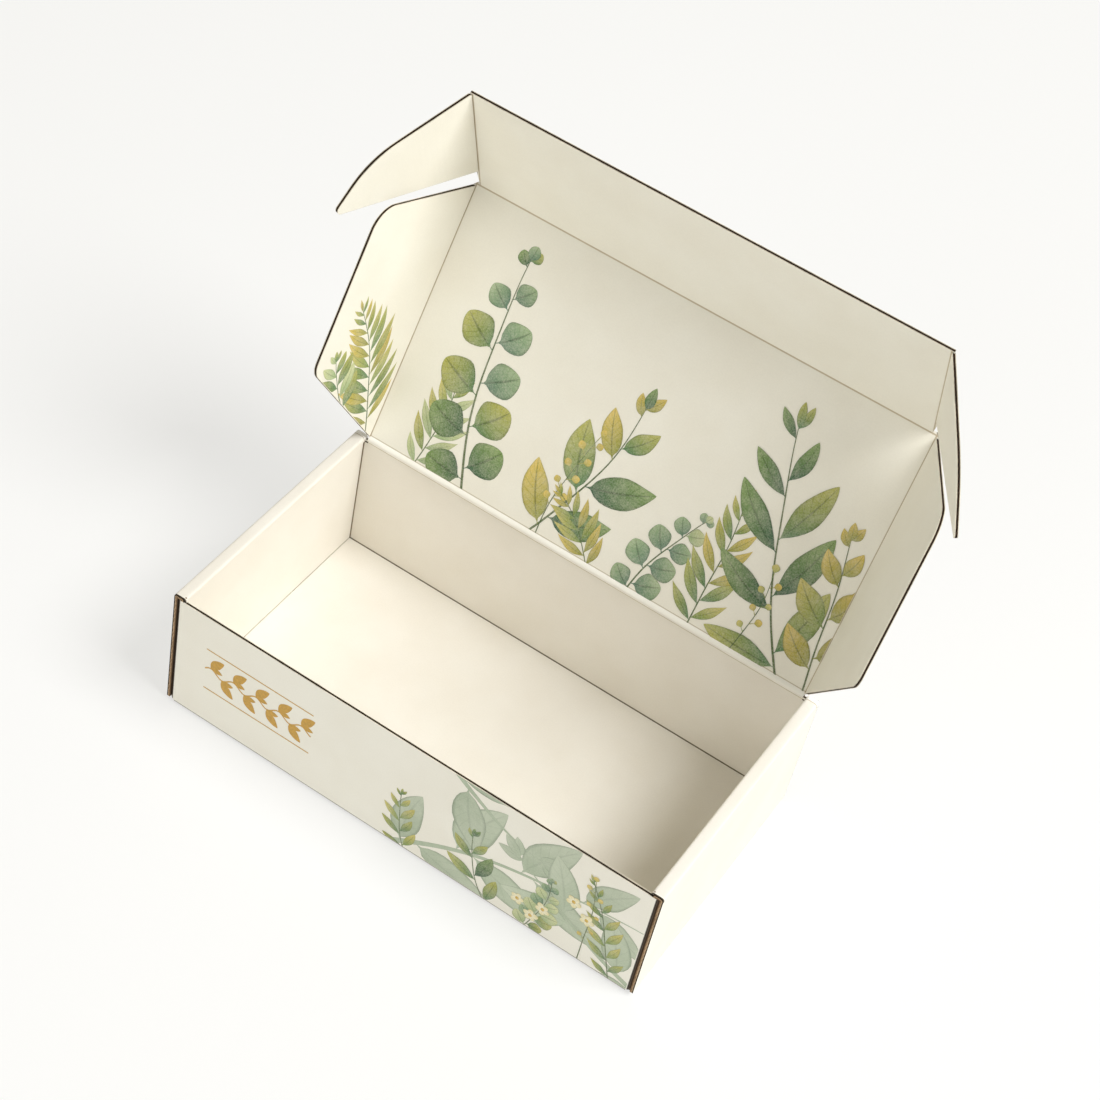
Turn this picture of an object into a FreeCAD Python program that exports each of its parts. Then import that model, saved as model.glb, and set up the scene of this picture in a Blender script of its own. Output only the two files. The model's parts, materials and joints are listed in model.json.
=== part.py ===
"""Corrugated mailer box with a hinged tuck-front lid, drawn open.

One die-cut sheet makes the whole box. The tray is a floor with a front and a back wall,
whose ends turn round the corners into hidden corner flaps, and two side walls that roll
over those flaps and lock into slots in the floor. The lid is hinged on the back wall and
carries two side flaps and a tuck flap with two tuck ears.

The origin is the middle of the underside of the tray. X runs along the front,
Y runs from front to back and Z is up. Sizes are in millimetres and degrees.
"""

import FreeCAD, Part
import math
import os
import Sketcher
from FreeCAD import Placement, Rotation, Vector

doc = FreeCAD.newDocument("mailer_box")
sheet = doc.addObject("Spreadsheet::Sheet", "Sizes")

# Sizes that can be set by themselves
SIZES = [
    ("tray_length", 260.0),
    ("tray_width", 140.0),
    ("tray_height", 74.0),
    ("board", 1.6),
    ("ply_gap", 0.3),
    ("bend_radius", 2.2),
    ("roll_radius", 1.2),
    ("front_drop", 2.0),
    ("raw_edge_set_back", 0.2),
    ("corner_flap_length", 54.0),
    ("score_width", 0.7),
    ("score_depth", 0.3),
    ("tab_length", 30.0),
    ("tab_spacing", 70.0),
    ("tab_taper", 1.5),
    ("slot_gap", 0.2),
    ("lid_side_gap", 1.0),
    ("hinge_gap", 0.2),
    ("hinge_strip_relief", 1.3),
    ("tuck_front_gap", 0.5),
    ("flap_floor_gap", 0.7),
    ("flap_rear_set_in", 40.0),
    ("flap_front_set_in", 13.5),
    ("flap_rear_radius", 9.0),
    ("flap_front_radius", 13.0),
    ("flap_relief", 1.5),
    ("lid_corner_cut", 2.0),
    ("tuck_depth", 69.0),
    ("tuck_relief", 1.6),
    ("ear_flap_gap", 0.4),
    ("ear_base", 12.0),
    ("ear_reach", 80.0),
    ("ear_tip_height", 51.0),
    ("ear_shoulder_height", 70.4),
    ("ear_shoulder_reach", 57.0),
    ("ear_tip_radius", 3.0),
    ("ear_shoulder_radius", 38.0),
    ("ear_corner_radius", 1.2),
    ("lid_open_angle", 118.0),
    ("tuck_fold_angle", 47.0),
    ("left_flap_angle", 83.0),
    ("right_flap_angle", 66.0),
    ("left_ear_angle", 74.0),
    ("right_ear_angle", 58.0),
]

# Places that follow from those sizes
PLACES = [
    ("side_x", "tray_length / 2"),
    ("outer_ply_x", "side_x - board"),
    ("corner_flap_out_x", "outer_ply_x - ply_gap"),
    ("corner_flap_in_x", "corner_flap_out_x - board"),
    ("inner_ply_out_x", "corner_flap_in_x - ply_gap"),
    ("inner_ply_in_x", "inner_ply_out_x - board"),
    ("wall_y", "tray_width / 2"),
    ("wall_in_y", "wall_y - board"),
    ("roll_end_y", "wall_y - raw_edge_set_back"),
    ("inner_ply_end_y", "wall_in_y - ply_gap"),
    ("bend_end_x", "corner_flap_out_x - bend_radius"),
    ("bend_end_y", "wall_y - bend_radius"),
    ("inner_bend", "bend_radius - board"),
    ("roll_under_z", "tray_height - board"),
    ("wall_top_z", "tray_height - front_drop"),
    ("ply_foot_z", "board + ply_gap"),
    ("corner_flap_end_y", "wall_y - corner_flap_length"),
    ("score_out_x", "side_x - board - ply_gap"),
    ("score_in_x", "inner_ply_in_x + board + ply_gap"),
    ("nose", "board / 2"),
    ("nose_round", "board * 0.47"),
    ("hinge_start", "nose + hinge_gap"),
    ("hinge_y", "wall_y - nose"),
    ("hinge_z", "tray_height - nose"),
    ("lid_crease_x", "inner_ply_in_x - lid_side_gap - nose"),
    ("lid_edge_x", "lid_crease_x + nose"),
    ("strip_x", "lid_edge_x - hinge_strip_relief"),
    ("lid_crease_y", "hinge_y + wall_in_y - tuck_front_gap - nose"),
    ("lid_edge_y", "lid_crease_y + nose"),
    ("lid_cut_x", "lid_edge_x - lid_corner_cut"),
    ("lid_cut_y", "lid_edge_y - lid_corner_cut"),
    ("flap_depth", "hinge_z - board - flap_floor_gap"),
    ("flap_start_u", "flap_relief"),
    ("flap_end_u", "lid_crease_y - flap_relief"),
    ("flap_rear_u", "flap_rear_set_in"),
    ("flap_front_u", "lid_crease_y - flap_front_set_in"),
    ("ear_crease_x", "lid_crease_x - nose - ear_flap_gap - nose"),
    ("tuck_edge_x", "ear_crease_x + nose"),
    ("tuck_relief_x", "tuck_edge_x - tuck_relief"),
    ("tuck_relief_y", "ear_base - hinge_start"),
]

for row, (name, value) in enumerate(SIZES, start=1):
    sheet.set("A%d" % row, name)
    sheet.set("B%d" % row, str(value))
    sheet.setAlias("B%d" % row, name)
for row, (name, formula) in enumerate(PLACES, start=len(SIZES) + 1):
    sheet.set("A%d" % row, name)
    sheet.set("B%d" % row, "=" + formula)
    sheet.setAlias("B%d" % row, name)
doc.recompute()


def size(name):
    """The number behind a name of the sheet; a leading minus turns its sign."""
    if name.startswith("-"):
        return -size(name[1:])
    return 0.0 if name == "zero" else float(sheet.get(name))


def rule(name):
    """The expression that ties a dimension to a name of the sheet."""
    if name == "zero":
        return None
    return "-Sizes." + name[1:] if name.startswith("-") else "Sizes." + name


def bind(sketch, kind, geometry, point, name):
    """Hold one coordinate of a point at a named place."""
    value = size(name)
    index = sketch.addConstraint(Sketcher.Constraint(kind, -1, 1, geometry, point, value))
    if rule(name):
        sketch.setExpression("Constraints[%d]" % index, rule(name))


def outline(sketch, corners):
    """A closed outline through named corners; a third name rounds that corner."""
    count = len(corners)
    spots = [Vector(size(c[0]), size(c[1]), 0) for c in corners]
    radii = [size(c[2]) if len(c) > 2 else 0.0 for c in corners]
    starts, ends, centres = [], [], []
    for k in range(count):
        back = (spots[k - 1] - spots[k]).normalize()
        ahead = (spots[(k + 1) % count] - spots[k]).normalize()
        half = math.acos(max(-1.0, min(1.0, back.dot(ahead)))) / 2
        reach = radii[k] / math.tan(half) if radii[k] else 0.0
        ends.append(spots[k] + back * reach)
        starts.append(spots[k] + ahead * reach)
        middle = (back + ahead)
        centres.append(spots[k] + middle.normalize() * (radii[k] / math.sin(half)) if radii[k] else None)
    lines = []
    for k in range(count):
        lines.append(sketch.addGeometry(Part.LineSegment(starts[k], ends[(k + 1) % count]), False))
    for k in range(count):
        before = lines[k - 1]
        after = lines[k]
        if not radii[k]:
            sketch.addConstraint(Sketcher.Constraint("Coincident", before, 2, after, 1))
            bind(sketch, "DistanceX", after, 1, corners[k][0])
            bind(sketch, "DistanceY", after, 1, corners[k][1])
            continue
        inward = ends[k] - centres[k]
        outward = starts[k] - centres[k]
        first = math.atan2(inward.y, inward.x)
        last = math.atan2(outward.y, outward.x)
        turns_left = inward.cross(outward).z > 0
        low, high = (first, last) if turns_left else (last, first)
        circle = Part.Circle(centres[k], Vector(0, 0, 1), radii[k])
        arc = sketch.addGeometry(Part.ArcOfCircle(circle, low, high if high > low else high + 2 * math.pi), False)
        head, tail = (1, 2) if turns_left else (2, 1)
        sketch.addConstraint(Sketcher.Constraint("Tangent", before, 2, arc, head))
        sketch.addConstraint(Sketcher.Constraint("Tangent", after, 1, arc, tail))
        index = sketch.addConstraint(Sketcher.Constraint("Radius", arc, radii[k]))
        sketch.setExpression("Constraints[%d]" % index, rule(corners[k][2]))
        mark = sketch.addGeometry(Part.Point(spots[k]), True)
        sketch.addConstraint(Sketcher.Constraint("PointOnObject", mark, 1, before))
        sketch.addConstraint(Sketcher.Constraint("PointOnObject", mark, 1, after))
        bind(sketch, "DistanceX", mark, 1, corners[k][0])
        bind(sketch, "DistanceY", mark, 1, corners[k][1])


def body_with_sketch(name, plane):
    """A body with one empty sketch on one of its origin planes."""
    body = doc.addObject("PartDesign::Body", name)
    sketch = body.newObject("Sketcher::SketchObject", name + "_outline")
    role = {"plan": "XY_Plane", "front": "XZ_Plane", "end": "YZ_Plane"}[plane]
    face = [f for f in body.Origin.OriginFeatures if f.Role == role][0]
    sketch.AttachmentSupport = [(face, "")]
    sketch.MapMode = "FlatFace"
    return body, sketch


def pad(body, sketch, length, centred=True, offset=None):
    """Pad a sketch, centred on its plane unless told otherwise."""
    feature = body.newObject("PartDesign::Pad", body.Name + "_pad")
    feature.Profile = sketch
    if centred:
        feature.SideType = "Symmetric"
    feature.setExpression("Length", length)
    if offset:
        sketch.setExpression(".AttachmentOffset.Base.z", offset)
    doc.recompute()
    return feature


def rounded(body, feature, radius, wanted):
    """Round each straight edge of a feature that the test picks out."""
    names = []
    for number, edge in enumerate(feature.Shape.Edges, start=1):
        if wanted(edge.BoundBox):
            names.append("Edge%d" % number)
    fillet = body.newObject("PartDesign::Fillet", body.Name + "_round")
    fillet.Base = (feature, names)
    fillet.setExpression("Radius", rule(radius))
    body.Tip = fillet
    doc.recompute()
    return fillet


def near(value, name):
    return abs(value - size(name)) < 0.01


# Tray floor with the front and back walls, seen from the end
walls, drawing = body_with_sketch("walls", "end")
outline(drawing, [
    ("-wall_y", "zero", "bend_radius"),
    ("wall_y", "zero", "bend_radius"),
    ("wall_y", "wall_top_z"),
    ("wall_in_y", "wall_top_z"),
    ("wall_in_y", "board", "inner_bend"),
    ("-wall_in_y", "board", "inner_bend"),
    ("-wall_in_y", "wall_top_z"),
    ("-wall_y", "wall_top_z"),
])
pad(walls, drawing, "2 * Sizes.bend_end_x")

# Outer plies of the side walls and their bends into the floor, seen from the front
channel, drawing = body_with_sketch("side_channel", "front")
outline(drawing, [
    ("-side_x", "zero", "bend_radius"),
    ("side_x", "zero", "bend_radius"),
    ("side_x", "roll_under_z"),
    ("outer_ply_x", "roll_under_z"),
    ("outer_ply_x", "board", "inner_bend"),
    ("-outer_ply_x", "board", "inner_bend"),
    ("-outer_ply_x", "roll_under_z"),
    ("-side_x", "roll_under_z"),
])
pad(channel, drawing, "2 * Sizes.bend_end_y")


def rolled_wall(name, sign):
    """The upper part of one side wall: outer ply, rolled top with two scores, raw ends."""
    body, drawing = body_with_sketch(name, "front")
    s = "" if sign > 0 else "-"
    corners = [
        (s + "side_x", "bend_radius"),
        (s + "side_x", "tray_height", "roll_radius"),
        (s + "score_out_right", "tray_height"),
        (s + "score_out_x", "score_z"),
        (s + "score_out_left", "tray_height"),
        (s + "score_in_right", "tray_height"),
        (s + "score_in_x", "score_z"),
        (s + "score_in_left", "tray_height"),
        (s + "inner_ply_in_x", "tray_height", "roll_radius"),
        (s + "inner_ply_in_x", "roll_foot_z"),
        (s + "inner_ply_out_x", "roll_foot_z"),
        (s + "inner_ply_out_x", "roll_under_z"),
        (s + "outer_ply_x", "roll_under_z"),
        (s + "outer_ply_x", "bend_radius"),
    ]
    outline(drawing, corners if sign > 0 else corners[::-1])
    pad(body, drawing, "2 * Sizes.roll_end_y")
    return body


for alias, formula in [
    ("score_out_right", "score_out_x + score_width / 2"),
    ("score_out_left", "score_out_x - score_width / 2"),
    ("score_in_right", "score_in_x + score_width / 2"),
    ("score_in_left", "score_in_x - score_width / 2"),
    ("score_z", "tray_height - score_depth"),
    ("roll_foot_z", "roll_under_z - ply_gap"),
    ("tab_in_low", "(tab_spacing - tab_length) / 2"),
    ("tab_in_foot", "tab_in_low + tab_taper"),
    ("tab_out_low", "(tab_spacing + tab_length) / 2"),
    ("tab_out_foot", "tab_out_low - tab_taper"),
    ("slot_in_y", "tab_in_low - slot_gap"),
    ("slot_out_y", "tab_out_low + slot_gap"),
    ("slot_in_x", "inner_ply_in_x - slot_gap"),
    ("slot_out_x", "inner_ply_out_x + slot_gap"),
    ("slot_top_z", "2 * board"),
    ("strip_foot_z", "tray_height / 2"),
    ("flap_top_z", "wall_top_z"),
    ("corner_root_x", "bend_end_x - 2 * board"),
]:
    row += 1
    sheet.set("A%d" % row, alias)
    sheet.set("B%d" % row, "=" + formula)
    sheet.setAlias("B%d" % row, alias)
doc.recompute()

rolls = [rolled_wall("right_roll", 1), rolled_wall("left_roll", -1)]


def inner_ply(name, sign):
    """The inner ply of one side wall, with two tabs that stand in the floor slots."""
    body, drawing = body_with_sketch(name, "end")
    outline(drawing, [
        ("-inner_ply_end_y", "ply_foot_z"),
        ("-tab_out_low", "ply_foot_z"),
        ("-tab_out_foot", "zero"),
        ("-tab_in_foot", "zero"),
        ("-tab_in_low", "ply_foot_z"),
        ("tab_in_low", "ply_foot_z"),
        ("tab_in_foot", "zero"),
        ("tab_out_foot", "zero"),
        ("tab_out_low", "ply_foot_z"),
        ("inner_ply_end_y", "ply_foot_z"),
        ("inner_ply_end_y", "roll_under_z"),
        ("-inner_ply_end_y", "roll_under_z"),
    ])
    place = "(Sizes.inner_ply_in_x + Sizes.inner_ply_out_x) / 2"
    pad(body, drawing, "Sizes.board", True, place if sign > 0 else "-" + place)
    return body


plies = [inner_ply("right_inner_ply", 1), inner_ply("left_inner_ply", -1)]


def corner_pair(name, sign):
    """One wall's two rounded ends and the corner flaps hidden inside the side walls."""
    body, drawing = body_with_sketch(name, "plan")
    y = "-" if sign < 0 else ""
    corners = [
        ("-corner_root_x", y + "wall_in_y"),
        ("-corner_root_x", y + "wall_y"),
        ("-corner_flap_out_x", y + "wall_y", "bend_radius"),
        ("-corner_flap_out_x", y + "corner_flap_end_y"),
        ("-corner_flap_in_x", y + "corner_flap_end_y"),
        ("-corner_flap_in_x", y + "wall_in_y", "inner_bend"),
    ]
    outline(drawing, corners if sign < 0 else corners[::-1])
    other = [(c[0][1:],) + c[1:] for c in corners]
    outline(drawing, other[::-1] if sign < 0 else other)
    feature = pad(body, drawing, "Sizes.flap_top_z - Sizes.bend_radius", False, "Sizes.bend_radius")
    return body


corners = [corner_pair("front_corners", -1), corner_pair("back_corners", 1)]

# Hinge strip: the top of the back wall between the rolled walls, rounded at the crease
strip, drawing = body_with_sketch("hinge_strip", "front")
outline(drawing, [
    ("-strip_x", "strip_foot_z"),
    ("strip_x", "strip_foot_z"),
    ("strip_x", "tray_height"),
    ("-strip_x", "tray_height"),
])
blank = pad(strip, drawing, "Sizes.board", True, "-Sizes.hinge_y")
rounded(strip, blank, "nose_round", lambda b: b.XLength > 10 and near(b.ZMin, "tray_height"))

# Slots in the floor for the tabs of the inner plies
slots, drawing = body_with_sketch("floor_slots", "plan")
for x_in, x_out in (("slot_in_x", "slot_out_x"), ("-slot_out_x", "-slot_in_x")):
    for y_in, y_out in (("slot_in_y", "slot_out_y"), ("-slot_out_y", "-slot_in_y")):
        outline(drawing, [(x_in, y_in), (x_out, y_in), (x_out, y_out), (x_in, y_out)])
pad(slots, drawing, "2 * Sizes.slot_top_z")

# The tray is one folded sheet: everything joined, with the slots cut before the plies go in
folded = doc.addObject("Part::MultiFuse", "folded_sheet")
folded.Shapes = [walls, channel] + corners + [strip]
slotted = doc.addObject("Part::Cut", "slotted_sheet")
slotted.Base = folded
slotted.Tool = slots
tray = doc.addObject("Part::MultiFuse", "tray")
tray.Shapes = [slotted] + rolls + plies
tray.Refine = True
tray.Label = "tray"
doc.recompute()


# Lid and flaps are drawn flat, with the crease on their own axis, and then folded
def flat_panel(name, corners):
    body, drawing = body_with_sketch(name, "plan")
    outline(drawing, corners)
    feature = pad(body, drawing, "Sizes.board")
    body.Label = name
    return body, feature


lid, blank = flat_panel("lid_panel", [
    ("-lid_edge_x", "hinge_start"),
    ("lid_edge_x", "hinge_start"),
    ("lid_edge_x", "lid_cut_y"),
    ("lid_cut_x", "lid_edge_y"),
    ("-lid_cut_x", "lid_edge_y"),
    ("-lid_edge_x", "lid_cut_y"),
])
rounded(lid, blank, "nose_round", lambda b: (
    (b.YLength > 10 and near(abs(b.XMin), "lid_edge_x"))
    or (b.XLength > 10 and near(b.YMin, "lid_edge_y"))
) and b.ZLength < 0.01)

side_flaps = []
for name in ("lid_side_flap_left", "lid_side_flap_right"):
    side_flaps.append(flat_panel(name, [
        ("flap_start_u", "hinge_start"),
        ("flap_end_u", "hinge_start"),
        ("flap_front_u", "flap_depth", "flap_front_radius"),
        ("flap_rear_u", "flap_depth", "flap_rear_radius"),
    ])[0])

tuck, blank = flat_panel("tuck_flap", [
    ("-tuck_relief_x", "hinge_start"),
    ("tuck_relief_x", "hinge_start"),
    ("tuck_edge_x", "tuck_relief_y"),
    ("tuck_edge_x", "tuck_depth"),
    ("-tuck_edge_x", "tuck_depth"),
    ("-tuck_edge_x", "tuck_relief_y"),
])
rounded(tuck, blank, "nose_round", lambda b: (
    b.YLength > 10 and near(abs(b.XMin), "tuck_edge_x") and b.ZLength < 0.01
))

ears = []
for name in ("tuck_ear_left", "tuck_ear_right"):
    ears.append(flat_panel(name, [
        ("ear_base", "hinge_start"),
        ("tuck_depth", "hinge_start", "ear_corner_radius"),
        ("ear_shoulder_height", "ear_shoulder_reach", "ear_shoulder_radius"),
        ("ear_tip_height", "ear_reach", "ear_tip_radius"),
    ])[0])


def folded_about(parent, spot, along, out, angle, turn):
    """The placement of a flap whose crease lies at a spot of its parent panel.

    The flap's own X runs along the crease or away from it as its outline was drawn;
    out is the flat direction away from the crease, and the flap turns inwards by the angle.
    """
    inward = Vector(0, 0, 1)
    a = math.radians(angle)
    away = out * math.cos(a) + inward * math.sin(a)
    axes = (along, away) if turn else (away, along)
    frame = Rotation(axes[0], axes[1], axes[0].cross(axes[1]), "XYZ")
    return parent.multiply(Placement(spot, frame))


def lid_frame():
    a = math.radians(size("lid_open_angle"))
    away = Vector(0, -math.cos(a), math.sin(a))
    inward = Vector(0, -math.sin(a), -math.cos(a))
    spot = Vector(0, size("hinge_y"), size("hinge_z"))
    return Placement(spot, Rotation(Vector(1, 0, 0), away, inward, "XYZ"))


X = Vector(1, 0, 0)
Y = Vector(0, 1, 0)
lid.Placement = lid_frame()
tuck.Placement = folded_about(lid.Placement, Vector(0, size("lid_crease_y"), 0), X, Y, size("tuck_fold_angle"), True)
for side, flap, ear, flap_angle, ear_angle in (
    (-1, side_flaps[0], ears[0], "left_flap_angle", "left_ear_angle"),
    (1, side_flaps[1], ears[1], "right_flap_angle", "right_ear_angle"),
):
    crease = Vector(side * size("lid_crease_x"), 0, 0)
    flap.Placement = folded_about(lid.Placement, crease, Y, X * side, size(flap_angle), True)
    crease = Vector(side * size("ear_crease_x"), 0, 0)
    ear.Placement = folded_about(tuck.Placement, crease, Y, X * side, size(ear_angle), True)
doc.recompute()

pieces = [tray, lid] + side_flaps + [tuck] + ears
for made in doc.Objects:
    if "Invalid" in made.State or "Error" in made.State:
        raise RuntimeError("could not build " + made.Name)
os.makedirs("parts", exist_ok=True)
for piece in pieces:
    if not piece.Shape.isValid() or len(piece.Shape.Solids) != 1:
        raise RuntimeError("%s is not one valid solid" % piece.Label)
    piece.Shape.exportStep("parts/%s.step" % piece.Label)
    print(piece.Label, round(piece.Shape.Volume, 1), [round(v, 1) for v in (
        piece.Shape.BoundBox.XLength, piece.Shape.BoundBox.YLength, piece.Shape.BoundBox.ZLength)])
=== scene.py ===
"""Looks of an open corrugated mailer box: lined board, fluted cut edges, creases and leaf print."""

import json
import math

import bpy
import numpy as np
from mathutils import Matrix, Vector, geometry


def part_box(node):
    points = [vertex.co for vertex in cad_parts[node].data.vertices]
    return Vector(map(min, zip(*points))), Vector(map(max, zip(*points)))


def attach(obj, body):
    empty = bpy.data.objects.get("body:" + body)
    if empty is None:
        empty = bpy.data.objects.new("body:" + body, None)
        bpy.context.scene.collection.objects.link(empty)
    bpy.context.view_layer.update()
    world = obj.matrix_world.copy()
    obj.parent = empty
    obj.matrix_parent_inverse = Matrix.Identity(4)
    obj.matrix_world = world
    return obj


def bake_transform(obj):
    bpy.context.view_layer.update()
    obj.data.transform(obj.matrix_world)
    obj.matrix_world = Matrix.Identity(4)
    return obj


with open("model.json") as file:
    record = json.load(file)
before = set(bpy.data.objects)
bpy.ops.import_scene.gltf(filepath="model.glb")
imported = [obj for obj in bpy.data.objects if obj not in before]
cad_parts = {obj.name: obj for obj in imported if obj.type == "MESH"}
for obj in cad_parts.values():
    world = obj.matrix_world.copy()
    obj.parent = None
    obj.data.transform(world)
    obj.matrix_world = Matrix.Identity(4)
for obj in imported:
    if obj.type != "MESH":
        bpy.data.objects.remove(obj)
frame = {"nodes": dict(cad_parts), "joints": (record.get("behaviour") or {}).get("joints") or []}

bl_info = {
    "name": "Mailer Box Finish",
    "version": (1, 0, 0),
    "blender": (4, 5, 0),
    "location": "View3D > Sidebar > Mailer Box",
    "description": "Finishes an open corrugated mailer box with board, cut edges, creases and print",
    "category": "Object",
}

MM = 0.001
X_AXIS = np.array([1.0, 0.0, 0.0])
Y_AXIS = np.array([0.0, 1.0, 0.0])
Z_AXIS = np.array([0.0, 0.0, 1.0])
JOINTS = {joint["name"]: joint for joint in frame["joints"]}


# Places taken from the frame

def joint_place(name):
    """The point and the unit axis of a crease, in metres."""
    joint = JOINTS[name]
    return np.array(joint["pos_m"], float), np.array(joint["axis"], float)


def node_box(name):
    low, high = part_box(name)
    return np.array(low, float), np.array(high, float)


def flat_panels():
    """Each flat panel's own frame: a runs across the flutes, b along them, w towards the box's inside."""
    hinge, _ = joint_place("lid_hinge")
    fold, _ = joint_place("tuck_fold")
    _, up_lid = joint_place("left_flap_fold")
    _, up_tuck = joint_place("left_ear_fold")
    inward_lid = np.cross(X_AXIS, up_lid)
    inward_tuck = np.cross(X_AXIS, up_tuck)
    panels = {
        "lid_panel": {"body": "lid", "origin": hinge, "a": X_AXIS, "b": up_lid, "w": inward_lid},
        "tuck_flap": {"body": "tuck", "origin": fold, "a": X_AXIS, "b": up_tuck, "w": inward_tuck},
    }
    for joint, node, body, side, along, inward in (
        ("left_flap_fold", "lid_side_flap_left", "left_flap", -1, up_lid, inward_lid),
        ("right_flap_fold", "lid_side_flap_right", "right_flap", 1, up_lid, inward_lid),
        ("left_ear_fold", "tuck_ear_left", "left_ear", -1, up_tuck, inward_tuck),
        ("right_ear_fold", "tuck_ear_right", "right_ear", 1, up_tuck, inward_tuck),
    ):
        spot, _ = joint_place(joint)
        angle = -math.radians(JOINTS[joint]["range_deg"][0])
        out = side * X_AXIS * math.cos(angle) + inward * math.sin(angle)
        facing = inward * math.cos(angle) - side * X_AXIS * math.sin(angle)
        panels[node] = {"body": body, "origin": spot, "a": out, "b": along, "w": facing}
    return panels


PANELS = flat_panels()
TRAY_LOW, TRAY_HIGH = node_box("tray")
HALF_BOARD = 0.0008  # half the thickness of the board
BEND = 0.0022  # outer radius of the tray's folds
HINGE_HALF = TRAY_HIGH[0] - 0.0077  # half the length of the lid's hinge
WALL_DROP = 0.002  # how far the front and back walls end below the rolls
TRIM = 0.0002  # how far a finish stops short of an outer edge
PRINT_STOP = 0.0018  # how far the lid's print stops from its folds, clear of the flaps
SNAP = 0.0001  # how near to an outline's lowest side a point counts as on it
KNEE = 0.0005  # how far the rounding of a hollow fold reaches from its line
# colour of the band round the lid's hinge, lighter than the liner: a painted highlight
HINGE_HIGHLIGHT = "#FDFBF4"
WALL_LINER = (0.8, 0.77, 0.72, 1.0)
PANEL_LINER = (0.7, 0.66, 0.6, 1.0)
# near-black tone for the liners on some of the tray's cut edges: painted shade
SHADED_LINER = (0.1, 0.08, 0.065, 1.0)
COATED = {"IOR": 1.48, "Specular IOR Level": 0.35}


# Settings a user would change

class MailerBoardSettings(bpy.types.PropertyGroup):
    """Sizes and colours of the board and its cut edges."""
    tray_colour: bpy.props.StringProperty(
        name="Tray liner", description="Colour of the liner inside the tray, as sRGB hex", default="#F4F0E7")
    print_colour: bpy.props.StringProperty(
        name="Print liner", description="Colour of the liner under the print, as sRGB hex", default="#F4F1E5")
    core_colour: bpy.props.StringProperty(
        name="Flute paper", description="Colour of the brown fluting paper, as sRGB hex", default="#B39A7C")
    # painted shade deep between the flutes
    flute_shade_colour: bpy.props.StringProperty(
        name="Flute gaps", description="Colour deep between the flutes, as sRGB hex", default="#1A120C")
    flute_pitch: bpy.props.FloatProperty(
        name="Flute pitch", description="Distance from one flute to the next", default=0.0032,
        min=0.001, max=0.01, subtype="DISTANCE", unit="LENGTH")
    liner: bpy.props.FloatProperty(
        name="Liner", description="Thickness of each liner on a cut edge", default=0.0003,
        min=0.0001, max=0.0006, subtype="DISTANCE", unit="LENGTH")
    edge_relief: bpy.props.FloatProperty(
        name="Edge relief", description="How far liners and flutes stand out of a cut edge", default=0.0001,
        min=0.00002, max=0.0005, subtype="DISTANCE", unit="LENGTH")
    skin_lift: bpy.props.FloatProperty(
        name="Skin lift", description="Height of the crease paper over the board", default=0.00004,
        min=0.00001, max=0.0002, subtype="DISTANCE", unit="LENGTH")


class MailerPrintSettings(bpy.types.PropertyGroup):
    """Colours and height of the leaf print."""
    lift: bpy.props.FloatProperty(
        name="Ink lift", description="Height of the lowest ink layer over the board", default=0.00003,
        min=0.00001, max=0.0002, subtype="DISTANCE", unit="LENGTH")
    layer: bpy.props.FloatProperty(
        name="Layer step", description="Height from one leaf to the next on top of it", default=0.0000012,
        min=0.0, max=0.00001, subtype="DISTANCE", unit="LENGTH")
    seed: bpy.props.IntProperty(
        name="Seed", description="Start of the small differences between leaves", default=7, min=0)
    gold_colour: bpy.props.StringProperty(
        name="Gold ink", description="Colour of the gold border, as sRGB hex", default="#B8903C")


class MailerStageSettings(bpy.types.PropertyGroup):
    """Floor, light and camera of the studio."""
    floor_colour: bpy.props.StringProperty(
        name="Floor", description="Colour of the lit opal floor, as sRGB hex", default="#A0A09F")
    floor_glow: bpy.props.FloatProperty(
        name="Floor glow", description="Strength of the light under the opal floor", default=0.615, min=0.0)
    key_power: bpy.props.FloatProperty(
        name="Key light", description="Watts of the soft light high on the right", default=88.0, min=0.0)
    side_power: bpy.props.FloatProperty(
        name="Side light", description="Watts of the broad light low on the right", default=14.0, min=0.0)
    front_power: bpy.props.FloatProperty(
        name="Front light", description="Watts of the broad light in front", default=30.0, min=0.0)
    fill_strength: bpy.props.FloatProperty(
        name="Fill", description="Strength of the warm white room around the box", default=0.29, min=0.0)
    focal_length: bpy.props.FloatProperty(
        name="Focal length", description="Focal length of the camera in millimetres", default=81.4, min=10.0)


# Small tools

def linear(text):
    """sRGB hex to linear light, with an alpha of one."""
    value = np.array([int(text[k:k + 2], 16) / 255 for k in (1, 3, 5)])
    light = np.where(value <= 0.04045, value / 12.92, ((value + 0.055) / 1.055) ** 2.4)
    return (*light.tolist(), 1.0)


def add_node(tree, kind, inputs=None, **settings):
    """Adds a shader node, with its settings and with values or links for its inputs."""
    made = tree.nodes.new(kind)
    for key, value in settings.items():
        setattr(made, key, value)
    for key, value in (inputs or {}).items():
        if isinstance(value, bpy.types.NodeSocket):
            tree.links.new(value, made.inputs[key])
        else:
            made.inputs[key].default_value = value
    return made


def maths(tree, operation, *values):
    """A number worked out from up to three."""
    return add_node(tree, "ShaderNodeMath", dict(enumerate(values)), operation=operation).outputs[0]


def vectors(tree, operation, *values):
    """A vector worked out from one or two, or the number that a length or a dot product gives."""
    made = add_node(tree, "ShaderNodeVectorMath", dict(enumerate(values)), operation=operation)
    return made.outputs["Value" if operation in ("LENGTH", "DOT_PRODUCT") else "Vector"]


def ramp(tree, value, low, high, first, last):
    """Runs from first to last while the value runs from low to high, and is level on both sides."""
    return add_node(tree, "ShaderNodeMapRange", {0: value, 1: low, 2: high, 3: first, 4: last}).outputs[0]


def mixed(tree, share, first, second, blend="MIX"):
    """The second colour laid over the first as far as the share says."""
    return add_node(tree, "ShaderNodeMix", {0: share, 6: first, 7: second},
                    data_type="RGBA", blend_type=blend).outputs[2]


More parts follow.
